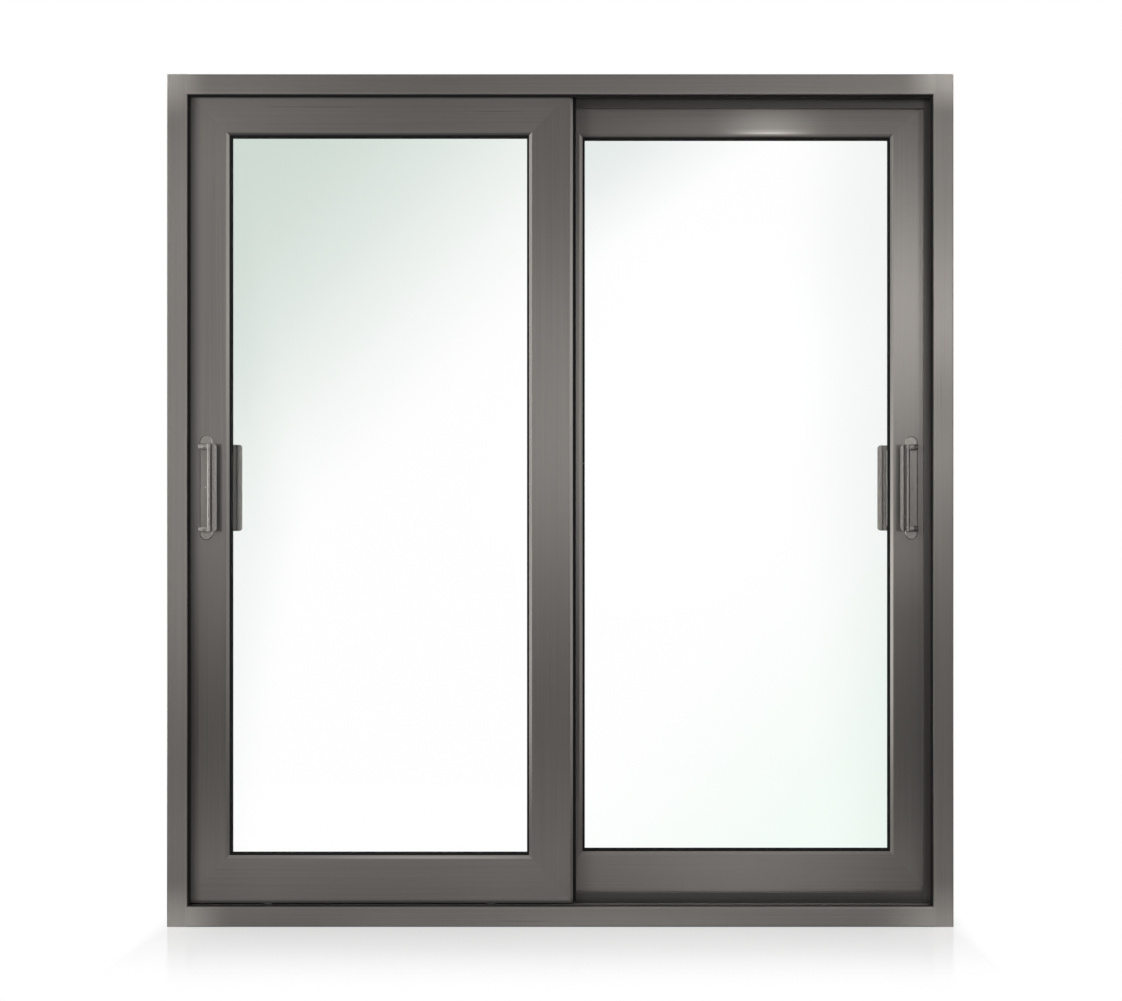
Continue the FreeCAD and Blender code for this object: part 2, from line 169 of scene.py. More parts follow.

# Painted highlights and painted shade: where the finish is painted paler or darker than the rest to stand
# in for light on it; place and reach are along X and Z. The patches are on the faces towards the front
# and fade out through the depth
paintedLightPatches = {
    "frame": [
        {"place": (-0.9225, 2.0), "reach": (0.10, 0.12), "lift": 1.20},
        {"place": (0.9225, 2.0), "reach": (0.13, 0.10), "lift": 1.60},
        {"place": (-0.9225, 0.0), "reach": (0.16, 0.12), "lift": 1.50},
        {"place": (0.9225, 0.0), "reach": (0.20, 0.12), "lift": 1.15},
        {"place": (-0.90, 0.65), "reach": (0.10, 0.40), "lift": 0.28},
        {"place": (0.90, 1.24), "reach": (0.10, 0.18), "lift": -0.20},
        {"place": (0.90, 0.24), "reach": (0.10, 0.30), "lift": -0.20},
        {"place": (-0.10, 0.0), "reach": (0.65, 0.10), "lift": 0.24},
        {"place": (-0.40, 0.0), "reach": (0.25, 0.10), "lift": 0.13},
        {"place": (0.19, 2.0), "reach": (0.40, 0.10), "lift": -0.13},
        {"place": (0.90, 1.70), "reach": (0.10, 0.25), "lift": -0.13},
    ],
    "stile": [
        {"place": (0.83, 1.50), "reach": (0.22, 0.45), "lift": 0.36},
        {"place": (0.83, 0.86), "reach": (0.20, 0.16), "lift": 0.20},
        {"place": (0.83, 0.30), "reach": (0.20, 0.40), "lift": -0.18},
        {"place": (-0.83, 0.42), "reach": (0.20, 0.36), "lift": -0.17},
        {"place": (-0.83, 1.87), "reach": (0.16, 0.26), "lift": 0.14},
        {"place": (-0.02, 1.76), "reach": (0.09, 0.36), "lift": -0.10},
        {"place": (-0.81, 0.12), "reach": (0.12, 0.14), "lift": 0.11},
        {"place": (-0.02, 0.12), "reach": (0.09, 0.14), "lift": 0.08},
        {"place": (0.82, 0.12), "reach": (0.12, 0.14), "lift": 0.11},
        {"place": (-0.7827, 1.47), "reach": (0.008, 0.50), "lift": 0.35},
        {"place": (-0.7827, 0.60), "reach": (0.008, 0.90), "lift": -0.35},
        {"place": (0.0250, 1.40), "reach": (0.005, 0.55), "lift": 0.80},
        {"place": (0.0250, 0.85), "reach": (0.005, 0.50), "lift": 0.35},
        {"place": (0.0442, 1.40), "reach": (0.005, 0.80), "lift": 0.40},
        {"place": (0.7860, 0.60), "reach": (0.008, 0.90), "lift": 0.75},
        {"place": (0.7850, 1.60), "reach": (0.008, 0.60), "lift": -0.60},
        {"place": (0.8640, 1.75), "reach": (0.013, 0.90), "lift": 1.30},
        {"place": (0.8650, 0.40), "reach": (0.011, 1.20), "lift": 0.60},
    ],
    "rail": [
        {"place": (0.492, 1.872), "reach": (0.16, 0.110), "lift": 0.95},
        {"place": (0.496, 1.8775), "reach": (0.13, 0.0085), "lift": 0.75},
        {"place": (0.496, 1.8742), "reach": (0.11, 0.0045), "lift": 1.30},
        {"place": (0.492, 1.8635), "reach": (0.14, 0.0085), "lift": -1.45},
        {"place": (0.46, 1.935), "reach": (0.60, 0.045), "lift": -0.25},
        {"place": (0.10, 1.90), "reach": (0.28, 0.30), "lift": -0.16},
        {"place": (0.80, 1.90), "reach": (0.22, 0.30), "lift": -0.18},
        {"place": (0.43, 0.10), "reach": (0.34, 0.30), "lift": 0.20},
        {"place": (0.80, 0.10), "reach": (0.20, 0.30), "lift": -0.15},
        {"place": (-0.82, 0.10), "reach": (0.15, 0.30), "lift": -0.10},
        {"place": (-0.02, 0.10), "reach": (0.13, 0.30), "lift": -0.07},
        {"place": (0.85, 0.10), "reach": (0.14, 0.30), "lift": -0.10},
        {"place": (-0.30, 0.1607), "reach": (0.42, 0.0065), "lift": 0.90},
    ],
}


# The sum of the patches' painted highlights and painted shade at a place
def paintedLightLift(x, z, kind):
    lift = 0.0
    for patch in paintedLightPatches[kind]:
        wide, tall = patch["reach"]
        across = (1 - (x - patch["place"][0]).size() * (1 / wide)).ease(0.0, 1.0)
        upward = (1 - (z - patch["place"][1]).size() * (1 / tall)).ease(0.0, 1.0)
        lift = across * upward * patch["lift"] + lift
    return lift


def bronzeSurface(start, place, grainAxis, depth, lift, shade):
    along = [bronze["drawn"] if axis == grainAxis else 1 for axis in "XYZ"]
    streaks = place.grain([bronze["streakScale"] * step for step in along], 2)
    fine = place.grain([bronze["fineScale"] * step for step in along], 1)
    mottle = place.grain([bronze["mottleScale"]] * 3, 1)
    lift = streaks * bronze["streak"] + mottle * bronze["mottle"] + lift
    level = (lift + 1.0) * shade
    full = shaded(bronze["colour"], depth * bronze["headroom"])
    tone = (level * (1 / bronze["headroom"])).blendTo((0, 0, 0), full)
    bump = start.node("Bump", None, {
        "Strength": bronze["bump"], "Distance": bronze["bumpDepth"], "Height": fine})
    surface = start.node("BsdfPrincipled", None, {
        "Base Color": tone, "Metallic": bronze["metallic"],
        "Roughness": bronze["roughness"] + streaks * bronze["roughSpread"],
        "Anisotropic": bronze["anisotropic"], "Anisotropic Rotation": bronze["turn"][grainAxis],
        "Normal": bump})
    start.node("OutputMaterial", None, {"Surface": surface})


def frameFinish(name, grainAxis, depth):
    material, start, place = newFinish(name)
    x, y, z = place.axes()
    middle = frameEdges["top"] / 2
    outward = (x.size() - frameEdges["half"]) if grainAxis == "Z" else ((z - middle).size() - middle)
    inward = 0 - outward - frameEdges["face"]
    near = (inward + frameEdges["arris"]).size().ease(frameEdges["arris"], 0.0)
    front = (0 - y).ease(-frameEdges["lip"], frameEdges["lip"])
    # Painted highlights and painted shade of the patches on the front, and a painted highlight near the
    # inner arris
    lift = paintedLightLift(x, z, "frame") * front + near * frameEdges["innerLight"]
    # Painted shade at the outer arris, round the inner lip and in the channels behind the lips
    arris = outward.ease(-frameEdges["arris"], -frameEdges["arrisEnd"])
    recess = (frameEdges["lip"] - y.size()).ease(0.0, millimetre)
    inside = (0 - outward).ease(millimetre / 2, millimetre) * recess
    turned = inward.ease(-frameEdges["innerRound"], -frameEdges["roundEnd"]) * (1 - recess)
    shade = (1 - arris * frameEdges["arrisShade"]) * (1 - turned * frameEdges["roundShade"])
    shade = shade * (1 - inside * (1 - frameEdges["channel"][grainAxis]))
    bronzeSurface(start, place, grainAxis, depth, lift, shade)
    return material


# Painted shadow: beside the lips of the left jamb, the head and the sill the panels are painted darker as
# the lips' shadow, the upper bevels round the glass carry painted shade, and the stiles beside the grips
# the grips' painted shadow
lipShade = {
    "left": {"edge": -0.876, "reach": 0.036, "shade": 0.80},
    "head": {"edge": 1.9475, "reach": -0.0045, "shade": 0.45},
    "sill": {"edge": 0.0550, "reach": 0.0095, "shade": 0.70},
}
bevelShade = {"left": 1.8665, "right": 1.8695, "reach": 0.0050, "from": 1.80, "shade": 0.66}
gripShade = {"place": (0.8025, 1.03), "half": (0.0095, 0.106), "soft": 0.006, "shade": 0.44}

# How far the panels' middles are from the middle of the frame's depth, and how far from its own
# middle a panel's painted-light patches fade out
panelDepth = {"middle": 0.040, "fade": 0.018}


def sashFinish(name, grainAxis, depth):
    material, start, place = newFinish(name)
    x, y, z = place.axes()
    right = y.ease(-millimetre, millimetre)
    middle = right * (2 * panelDepth["middle"]) - panelDepth["middle"]
    front = (middle - y).ease(-panelDepth["fade"], panelDepth["fade"])
    # Painted highlights and painted shade of the patches, on the front faces
    lift = paintedLightLift(x, z, "stile" if grainAxis == "Z" else "rail") * front
    shade = 1.0
    # Painted shadow of the left jamb's lip, the head and the sill on the panel
    for way, lip in ((x, lipShade["left"]), (z, lipShade["head"]), (z, lipShade["sill"])):
        lit = (way - lip["edge"]).ease(0.0, lip["reach"])
        shade = (1 - (1 - lit) * lip["shade"]) * shade
    if grainAxis == "X":
        # Painted shade on the upper bevels round the glass
        edge = right * (bevelShade["right"] - bevelShade["left"]) + bevelShade["left"]
        below = (edge - z).ease(0.0, bevelShade["reach"]) * (z - bevelShade["from"]).ease(0.0, millimetre)
        shade = shade * (1 - below * bevelShade["shade"])
    else:
        # Painted shadow of the grips on the stiles beside them
        across = (x.size() - gripShade["place"][0]).size() - gripShade["half"][0]
        upward = (z - gripShade["place"][1]).size() - gripShade["half"][1]
        beside = across.ease(0.0, -gripShade["soft"]) * upward.ease(0.0, -gripShade["soft"])
        shade = shade * (1 - beside * gripShade["shade"])
    bronzeSurface(start, place, grainAxis, depth, lift, shade)
    return material


# Each copy of the one bronze has its own depth of tone; the upright and level copies are made lighter or
# darker to match how each kind of member is lit, a painted light and shade
frameUpright = frameFinish("frame bronze upright", grainAxis="Z", depth=0.92)
frameLevel = frameFinish("frame bronze level", grainAxis="X", depth=0.98)
sashUpright = sashFinish("sash bronze upright", grainAxis="Z", depth=0.765)
sashLevel = sashFinish("sash bronze level", grainAxis="X", depth=0.91)


# Pulls and plates: the same bronze, smoother and finely drawn. The grips carry painted shade in their
# grooves; the left front grip has a painted highlight on its outer ridge, the right one painted shadow
# at its arms' ends, and the plates have a painted highlight at their round ends
pullMetal = {
    "grip": (0.21, 0.197, 0.184),
    "rearGrip": (0.262, 0.232, 0.220),
    "plate": (0.172, 0.161, 0.150),
    "headroom": 2.0,
    "drawnScale": (500, 500, 9),
    "drawn": 0.10,
    "cloudScale": (18, 18, 9),
    "cloud": 0.08,
    "plateMiddle": 1.03,
    "plateEnd": 0.104,
    "endHighlight": 0.30,
    "metallic": 0.75,
    "roughness": 0.26,
    "roughSpread": 0.06,
    "bump": 0.02,
    "bumpDepth": 0.0003,
    "grooves": (0.8165, 0.7700),
    "grooveHalf": 0.0024,
    "grooveCore": 0.00192,
    "grooveShade": 0.30,
    "brightEdge": -0.8205,
    "ridgeHighlight": 0.40,
    "armEnd": 0.8365,
    "armShade": 0.26,
}


def pullFinish(kind):
    material, start, place = newFinish("pull " + kind)
    x, _, z = place.axes()
    drawn = place.grain(pullMetal["drawnScale"], 2)
    cloud = place.grain(pullMetal["cloudScale"], 2)
    level = 1.0 + drawn * pullMetal["drawn"] + cloud * pullMetal["cloud"]
    if kind == "plate":
        # Painted highlight at the plates' round ends
        end = (z - pullMetal["plateMiddle"]).size() - pullMetal["plateEnd"]
        level = level * (1 + end.ease(0.0, 2 * millimetre) * pullMetal["endHighlight"])
    else:
        # Painted shade in the grooves of the grips
        for groove in pullMetal["grooves"]:
            off = (x.size() - groove).size().ease(pullMetal["grooveCore"], pullMetal["grooveHalf"])
            level = level * (pullMetal["grooveShade"] + off * (1 - pullMetal["grooveShade"]))
        # A painted highlight on the left front grip's outer ridge and a painted shadow at the right grip's
        # arms' ends
        bright = (pullMetal["brightEdge"] - x).ease(0.0, millimetre)
        armEnd = (x - pullMetal["armEnd"]).ease(0.0, millimetre)
        level = level * (1 + bright * pullMetal["ridgeHighlight"])
        level = level * (1 - armEnd * (1 - pullMetal["armShade"]))
    full = shaded(pullMetal[kind], pullMetal["headroom"])
    tone = (level * (1 / pullMetal["headroom"])).blendTo((0, 0, 0), full)
    bump = start.node("Bump", None, {
        "Strength": pullMetal["bump"], "Distance": pullMetal["bumpDepth"], "Height": drawn})
    surface = start.node("BsdfPrincipled", None, {
        "Base Color": tone, "Metallic": pullMetal["metallic"],
        "Roughness": pullMetal["roughness"] + cloud * pullMetal["roughSpread"], "Normal": bump})
    start.node("OutputMaterial", None, {"Surface": surface})
    return material


# Clear float glass, greyer and greener towards a few places; each cast is full at a place and fades out
# over its reach
glazing = {
    "clear": (0.998, 1.0, 0.999),
    "ior": 1.16,
    "left": [
        {"place": (-0.745, 1.845), "reach": (1.16, 1.16), "cast": (0.79, 0.84, 0.805)},
        {"place": (-0.77, 0.95), "reach": (0.2, 1.1), "cast": (0.95, 0.96, 0.955)},
    ],
    "right": [
        {"place": (0.77, 0.17), "reach": (1.0, 1.0), "cast": (0.945, 0.985, 0.957)},
        {"place": (0.06, 1.845), "reach": (0.48, 0.34), "cast": (0.89, 0.915, 0.905)},
        {"place": (0.775, 1.5), "reach": (0.3, 3.0), "cast": (0.945, 0.955, 0.95)},
    ],
}


def glassFinish(side):
    material, start, place = newFinish(side + " panes")
    x, _, z = place.axes()
    tone = (*glazing["clear"], 1)
    for tint in glazing[side]:
        away = (x - tint["place"][0]).size() * (1 / tint["reach"][0])
        away = away + (z - tint["place"][1]).size() * (1 / tint["reach"][1])
        cast = (1 - away).ease(0.0, 1.0).blendTo((1, 1, 1), tint["cast"])
        tone = start.node("Mix", {"data_type": "RGBA", "blend_type": "MULTIPLY"},
                          {"Factor": 1.0, mixFirst: tone, mixSecond: cast}, mixResult)
    surface = start.node("BsdfPrincipled", None, {
        "Base Color": tone, "Roughness": 0.0, "IOR": glazing["ior"], "Transmission Weight": 1.0})
    start.node("OutputMaterial", None, {"Surface": surface})
    return material


# Rubber, steel, nylon and pile for the small parts; scale is features per metre along X, Y and Z
smallParts = {
    "black rubber": {
        "colour": (0.008, 0.008, 0.008), "roughness": 0.6, "metallic": 0.0, "scale": (600, 600, 600),
        "spread": 0.5, "bump": 0.10, "specular": 0.1},
    "dark drawn steel": {
        "colour": (0.12, 0.114, 0.107), "roughness": 0.35, "metallic": 1.0, "scale": (8, 400, 400),
        "spread": 0.3, "bump": 0.05, "specular": 0.5},
    "spacer aluminium": {
        "colour": (0.42, 0.41, 0.40), "roughness": 0.38, "metallic": 1.0, "scale": (60, 500, 500),
        "spread": 0.2, "bump": 0.05, "specular": 0.5},
    "grey nylon": {
        "colour": (0.16, 0.16, 0.16), "roughness": 0.45, "metallic": 0.0, "scale": (300, 300, 300),
        "spread": 0.2, "bump": 0.05, "specular": 0.5},
    "grey pile": {
        "colour": (0.045, 0.044, 0.043), "roughness": 0.9, "metallic": 0.0, "scale": (1500, 1500, 200),
        "spread": 0.8, "bump": 0.5, "specular": 0.5},
}
smallTones = {"dark": 0.5, "pale": 1.5, "roughSpread": 0.15, "bumpDepth": 0.0003}


def plainFinish(name):
    material, start, place = newFinish(name)
    stuff = smallParts[name]
    spots = place.grain(stuff["scale"], 3)
    dark = shaded(stuff["colour"], smallTones["dark"])
    pale = shaded(stuff["colour"], smallTones["pale"])
    tone = (0.5 + spots * stuff["spread"]).blendTo(dark, pale)
    bump = start.node("Bump", None, {
        "Strength": stuff["bump"], "Distance": smallTones["bumpDepth"], "Height": spots})
    surface = start.node("BsdfPrincipled", None, {
        "Base Color": tone, "Metallic": stuff["metallic"],
        "Roughness": stuff["roughness"] + spots * smallTones["roughSpread"],
        "Specular IOR Level": stuff["specular"], "Normal": bump})
    start.node("OutputMaterial", None, {"Surface": surface})
    return material


rubber = plainFinish("black rubber")
trackSteel = plainFinish("dark drawn steel")
spacerMetal = plainFinish("spacer aluminium")
nylon = plainFinish("grey nylon")
pile = plainFinish("grey pile")
gripSatin = pullFinish("grip")
rearGripSatin = pullFinish("rearGrip")
plateSatin = pullFinish("plate")

finishes = {
    "left_jamb": frameUpright, "right_jamb": frameUpright, "head": frameLevel, "sill": frameLevel,
    "front_track_rail": trackSteel, "rear_track_rail": trackSteel,
    "front_seal": rubber, "rear_seal": rubber, "travel_stops": rubber,
    "left_keeper": trackSteel, "right_keeper": trackSteel,
}
panelFinishes = {
    "lock_stile": sashUpright, "meeting_stile": sashUpright, "top_rail": sashLevel,
    "bottom_rail": sashLevel, "spacer": spacerMetal, "gasket": rubber, "glazing_bead": sashUpright,
    "front_plate": plateSatin, "front_pull": gripSatin, "rear_plate": plateSatin,
    "rear_pull": rearGripSatin, "rollers": nylon, "roller_brackets": trackSteel, "top_guides": nylon,
    "meeting_brush": pile, "lock_face": trackSteel,
}
for side in ("left", "right"):
    for name, finish in panelFinishes.items():
        finishes[side + "_" + name] = finish
    finishes[side + "_glass"] = glassFinish(side)
    nodes[side + "_glass"].visible_shadow = False
for name, finish in finishes.items():
    nodes[name].data.materials.clear()
    nodes[name].data.materials.append(finish)
print("finishes on", len(finishes), "nodes")

# A direction lies along an axis above aligned and square to it below square; places that are
# closer than touching are the same
aligned = 0.9
square = 0.1
touching = 1e-5


# A box between two corners, left in edit mode
def boxPiece(name, low, high):
    bpy.ops.object.select_all(action="DESELECT")
    bpy.ops.mesh.primitive_cube_add(size=1, location=[(a + b) / 2 for a, b in zip(low, high)])
    piece = bpy.context.object
    piece.name = name
    piece.scale = [b - a for a, b in zip(low, high)]
    bpy.ops.object.transform_apply(location=True, rotation=True, scale=True)
    bpy.ops.object.mode_set(mode="EDIT")
    return piece


# Selects the faces or edges whose middle and direction pass a test
def pick(piece, kind, test):
    bpy.ops.mesh.select_mode(type=kind)
    bpy.ops.mesh.select_all(action="DESELECT")
    mesh = bmesh.from_edit_mesh(piece.data)
    for item in list(mesh.faces if kind == "FACE" else mesh.edges):
        if kind == "FACE":
            middle, way = item.calc_center_median(), item.normal
        else:
            first, second = item.verts
            middle, way = (first.co + second.co) / 2, (second.co - first.co).normalized()
        if test(middle, way):
            item.select_set(True)
    bmesh.update_edit_mesh(piece.data)


def leaveEdit(smoothAngle=35):
    bpy.ops.mesh.select_all(action="SELECT")
    bpy.ops.mesh.normals_make_consistent(inside=False)
    bpy.ops.object.mode_set(mode="OBJECT")
    bpy.ops.object.shade_smooth_by_angle(angle=math.radians(smoothAngle))


def joinPieces(name, pieces):
    bpy.ops.object.select_all(action="DESELECT")
    for piece in pieces:
        piece.select_set(True)
    bpy.context.view_layer.objects.active = pieces[0]
    bpy.ops.object.join()
    pieces[0].name = name
    return pieces[0]


def settle(piece, body, finish, slot, *replaced):
    piece.data.materials.clear()
    piece.data.materials.append(finish)
    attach(piece, body)
    if replaced:
        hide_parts(*replaced)


# A square tunnel through a box along Y leaves a ring with mitred corners
def openRing(name, low, high, width):
    piece = boxPiece(name, low, high)
    pick(piece, "FACE", lambda middle, way: abs(way.y) > aligned)
    bpy.ops.mesh.inset(thickness=width)
    bpy.ops.mesh.bridge_edge_loops()
    return piece


# An edge further in than this share of the ring's width is on its hole
holeShare = 0.75


# Long edges on the ring's hole, at the given depths, are rounded
def roundInside(piece, low, high, width, depths, radius, segments):
    near = holeShare * width
    pick(piece, "EDGE", lambda middle, way: abs(way.y) < square
         and low[0] + near < middle.x < high[0] - near and middle.z < high[2] - near
         and any(abs(middle.y - depth) < touching for depth in depths))
    bpy.ops.mesh.bevel(offset=radius, segments=segments, affect="EDGES")


# Glazing gaskets: a soft lip that leans on the glass, in front of and behind each unit
gasket = {"width": 0.015, "thickness": 0.003, "lip": 0.0021, "segments": 4}


def gasketLips(side):
    low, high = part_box(side + "_gasket")
    rings = []
    for name, near, far in (("front", low.y, low.y + gasket["thickness"]),
                            ("rear", high.y, high.y - gasket["thickness"])):
        bottom = (low.x, min(near, far), low.z)
        top = (high.x, max(near, far), high.z)
        ring = openRing(side + "_gasket_" + name, bottom, top, gasket["width"])
        roundInside(ring, bottom, top, gasket["width"], (near,), gasket["lip"], gasket["segments"])
        leaveEdit()
        rings.append(ring)
    piece = joinPieces(side + "_gasket_lips", rings)
    settle(piece, side + "_panel", rubber, "black_rubber", side + "_gasket")


# Bulb seals behind the frame's lips, open at the sill
seal = {"width": 0.0125, "bulb": 0.0024, "segments": 5, "trim": 0.03}


def bulbSeal(side):
    low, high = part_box(side + "_seal")
    bottom = (low.x, low.y, low.z - seal["trim"])
    piece = openRing(side + "_bulb_seal", bottom, high, seal["width"])
    bpy.ops.mesh.select_all(action="SELECT")
    bpy.ops.mesh.bisect(plane_co=(0, 0, low.z), plane_no=(0, 0, 1), clear_inner=True, use_fill=True)
    roundInside(piece, low, high, seal["width"], (low.y, high.y), seal["bulb"], seal["segments"])
    leaveEdit()
    settle(piece, "frame", rubber, "black_rubber", side + "_seal")


# Pile strips between the meeting stiles: a clip-in base and a frayed, tufted pile
brush = {
    "base": 0.003,
    "baseEdge": 0.0008,
    "baseSegments": 2,
    "pileWidth": 0.005,
    "tuft": 0.006,
    "cuts": 3,
    "pinch": 0.8,
    "weld": 0.0001,
    "fray": 0.0007,
    "seed": 7,
    "smoothAngle": 60,
}


def pileStrip(side, outward):
    low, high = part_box(side + "_meeting_brush")
    face, tip = (low.y, high.y) if outward > 0 else (high.y, low.y)
    foot = face + outward * brush["base"]
    bottom = (low.x, min(face, foot), low.z)
    top = (high.x, max(face, foot), high.z)
    base = boxPiece(side + "_pile_base", bottom, top)
    pick(base, "EDGE", lambda middle, way: abs(way.z) > aligned and abs(middle.y - foot) < touching)
    bpy.ops.mesh.bevel(offset=brush["baseEdge"], segments=brush["baseSegments"], affect="EDGES")
    leaveEdit()
    half = brush["pileWidth"] / 2
    end = tip - outward * brush["fray"]
    bottom = (-half, min(foot, end), low.z)
    top = (half, max(foot, end), low.z + brush["tuft"])
    tufts = boxPiece(side + "_pile_tufts", bottom, top)
    pick(tufts, "FACE", lambda middle, way: abs(way.z) > aligned or way.y * outward < -aligned)
    bpy.ops.mesh.delete(type="ONLY_FACE")
    bpy.ops.mesh.select_all(action="SELECT")
    bpy.ops.mesh.subdivide(number_cuts=brush["cuts"])
    for z in (bottom[2], top[2]):
        pick(tufts, "EDGE", lambda middle, way: abs(middle.z - z) < touching and abs(way.z) < square)
        bpy.ops.transform.resize(value=(brush["pinch"], 1, 1))
    bpy.ops.object.mode_set(mode="OBJECT")
    rows = tufts.modifiers.new("rows", "ARRAY")
    rows.count = int((high.z - low.z) / brush["tuft"])
    rows.use_relative_offset = False
    rows.use_constant_offset = True
    rows.constant_offset_displace = (0, 0, brush["tuft"])
    rows.use_merge_vertices = True
    rows.merge_threshold = brush["weld"]
    bpy.ops.object.modifier_apply(modifier="rows")
    bpy.ops.object.mode_set(mode="EDIT")
    pick(tufts, "EDGE", lambda middle, way: abs(middle.y - end) < touching)
    bpy.ops.transform.vertex_random(offset=brush["fray"], seed=brush["seed"])
    leaveEdit(brush["smoothAngle"])
    piece = joinPieces(side + "_pile_strip", [base, tufts])
    settle(piece, side + "_panel", pile, "pile", side + "_meeting_brush")


# A black rubber lip on the edge of the front meeting stile, over the gap between the panels: it stands for
# a seal and also paints the shade that falls in that gap
meetingShadeLip = {
    "proud": 0.0066,
    "depth": 0.010,
    "above": 0.002,
    "below": 0.016,
    "round": 0.002,
    "segments": 3,
}


def darkenMeetingGap():
    low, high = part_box("left_meeting_stile")
    centre = (low.y + high.y) / 2
    bottom = (high.x, centre - meetingShadeLip["depth"] / 2, low.z + meetingShadeLip["above"])
    top = (high.x + meetingShadeLip["proud"], centre + meetingShadeLip["depth"] / 2, high.z - meetingShadeLip["below"])
    piece = boxPiece("left_meeting_shade_lip", bottom, top)
    pick(piece, "EDGE", lambda middle, way: abs(way.z) > aligned and middle.x > high.x + millimetre)
    bpy.ops.mesh.bevel(offset=meetingShadeLip["round"], segments=meetingShadeLip["segments"], affect="EDGES")
    leaveEdit()
    settle(piece, "left_panel", rubber, "black_rubber")


# Round heads, turned once along Z; a head with a socket is a screw, one without is a cap
heads = {
    "screw": {"radius": 0.0036, "proud": 0.0006, "rim": 0.0004, "socket": 0.0016, "sink": 0.0005},
    "cap": {"radius": 0.0042, "proud": 0.0010, "rim": 0.0009, "socket": None},
}
headSides = 24
rimSegments = 3


def turnHead(kind):
    size = heads[kind]
    bpy.ops.object.select_all(action="DESELECT")
    bpy.ops.mesh.primitive_cylinder_add(vertices=headSides, radius=size["radius"], depth=2 * size["proud"])
    head = bpy.context.object
    bpy.ops.object.mode_set(mode="EDIT")
    pick(head, "FACE", lambda middle, way: way.z > aligned)
    bpy.ops.mesh.bevel(offset=size["rim"], segments=rimSegments, affect="EDGES")
    if size["socket"]:
        pick(head, "FACE", lambda middle, way: way.z > aligned and middle.xy.length < touching)
        bpy.ops.mesh.inset(thickness=size["radius"] - size["rim"] - size["socket"])
        bpy.ops.mesh.extrude_region_move(TRANSFORM_OT_translate={"value": (0, 0, -size["sink"])})
    leaveEdit()
    return head


# Copies of a head at the given places, turned to face along X or Y
def setHeads(name, head, places, turn, body, finish, slot):
    copies = []
    for place in places:
        copy = head.copy()
        copy.data = head.data.copy()
        scene.collection.objects.link(copy)
        copy.location = place
        copy.rotation_euler = turn
        copies.append(copy)
    piece = joinPieces(name, copies)
    bpy.ops.object.transform_apply(location=True, rotation=True, scale=True)
    settle(piece, body, finish, slot)


# How far the screws are above and below the middle of their plates
screwSpread = {"keeper": 0.047, "lock": 0.086}


def setScrews(name, node, way, spread, body):
    low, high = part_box(node)
    face = high.x if way > 0 else low.x
    middle = (low + high) / 2
    places = [(face, middle.y, middle.z + step) for step in (-spread, spread)]
    setHeads(name, screwHead, places, (0, way * quarterTurn, 0), body, trackSteel, "track_steel")


# Caps on a pull's arms, over its posts, and on the middle of a front plate
armCaps = {"fromArmEnd": 0.0145, "fromGripEnd": 0.006, "armDrop": 0.001}


def setCaps(side, face, way):
    low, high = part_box(side + "_" + face + "_pull")
    x = low.x + armCaps["fromArmEnd"] if side == "left" else high.x - armCaps["fromArmEnd"]
    y = (high.y if way > 0 else low.y) - way * armCaps["armDrop"]
    places = [(x, y, low.z + armCaps["fromGripEnd"]), (x, y, high.z - armCaps["fromGripEnd"])]
    if face == "front":
        plateLow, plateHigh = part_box(side + "_front_plate")
        places.append((x, plateLow.y, (plateLow.z + plateHigh.z) / 2))
    name = side + "_" + face + "_caps"
    setHeads(name, capHead, places, (-way * quarterTurn, 0, 0), side + "_panel", gripSatin, "handle_metal")


for side, outward in (("left", 1), ("right", -1)):
    gasketLips(side)
    pileStrip(side, outward)
darkenMeetingGap()
for side in ("front", "rear"):
    bulbSeal(side)
screwHead = turnHead("screw")
capHead = turnHead("cap")
for side, way in (("left", 1), ("right", -1)):
    setScrews(side + "_keeper_screws", side + "_keeper", way, screwSpread["keeper"], "frame")
for side, way in (("left", -1), ("right", 1)):
    setScrews(side + "_lock_screws", side + "_lock_face", way, screwSpread["lock"], side + "_panel")
for side in ("left", "right"):
    setCaps(side, "front", -1)
    setCaps(side, "rear", 1)
for head in (screwHead, capHead):
    bpy.data.objects.remove(head)
print("seals, gaskets, pile strips, screws and caps made")


# Studio: white behind and below the door, a room on the camera's side that is dark behind the camera.
# The levels apart from ambient are what the metal mirrors; ambient lights matt surfaces. A span is
# where a level begins and where it is full, as a part of the direction looked in
studio = {
    "frontSpan": (0.2, 0.6),
    "frontLow": 0.6,
    "frontLowSpan": (0.22, 0.42),
    "frontHigh": 0.5,
    "frontHighSpan": (0.25, 0.50),
    "frontSide": 0.6,
    "frontSideSpan": (0.30, 0.60),
    "left": 4.0,
    "right": 2.6,
    "sideSpan": (0.4, 0.9),
    "ambient": 0.4,
}


def buildWorld():
    world = bpy.data.worlds.new("studio")
    scene.world = world
    world.use_nodes = True
    world.node_tree.nodes.clear()
    start = Wire(world.node_tree)
    x, y, z = start.node("TexCoord", None, None, "Generated").axes()
    front = (0 - y).ease(*studio["frontSpan"])
    sides = (0 - x).ease(*studio["sideSpan"]) * (studio["left"] - 1) + 1
    sides = sides + x.ease(*studio["sideSpan"]) * (studio["right"] - 1)
    room = (0 - z).ease(*studio["frontLowSpan"]) * studio["frontLow"]
    room = room + z.ease(*studio["frontHighSpan"]) * studio["frontHigh"]
    room = room + x.size().ease(*studio["frontSideSpan"]) * studio["frontSide"]
    glow = front * (room - sides) + sides
    glossy = start.node("LightPath", None, None, "Is Glossy Ray")
    through = start.node("LightPath", None, None, "Is Transmission Ray")
    matt = start.node("LightPath", None, None, "Is Diffuse Ray")
    level = glossy * (1 - through) * (glow - 1) + 1 - matt * (1 - studio["ambient"])
    background = start.node("Background", None, {"Color": (1, 1, 1, 1), "Strength": level})
    start.node("OutputWorld", None, {"Surface": background})


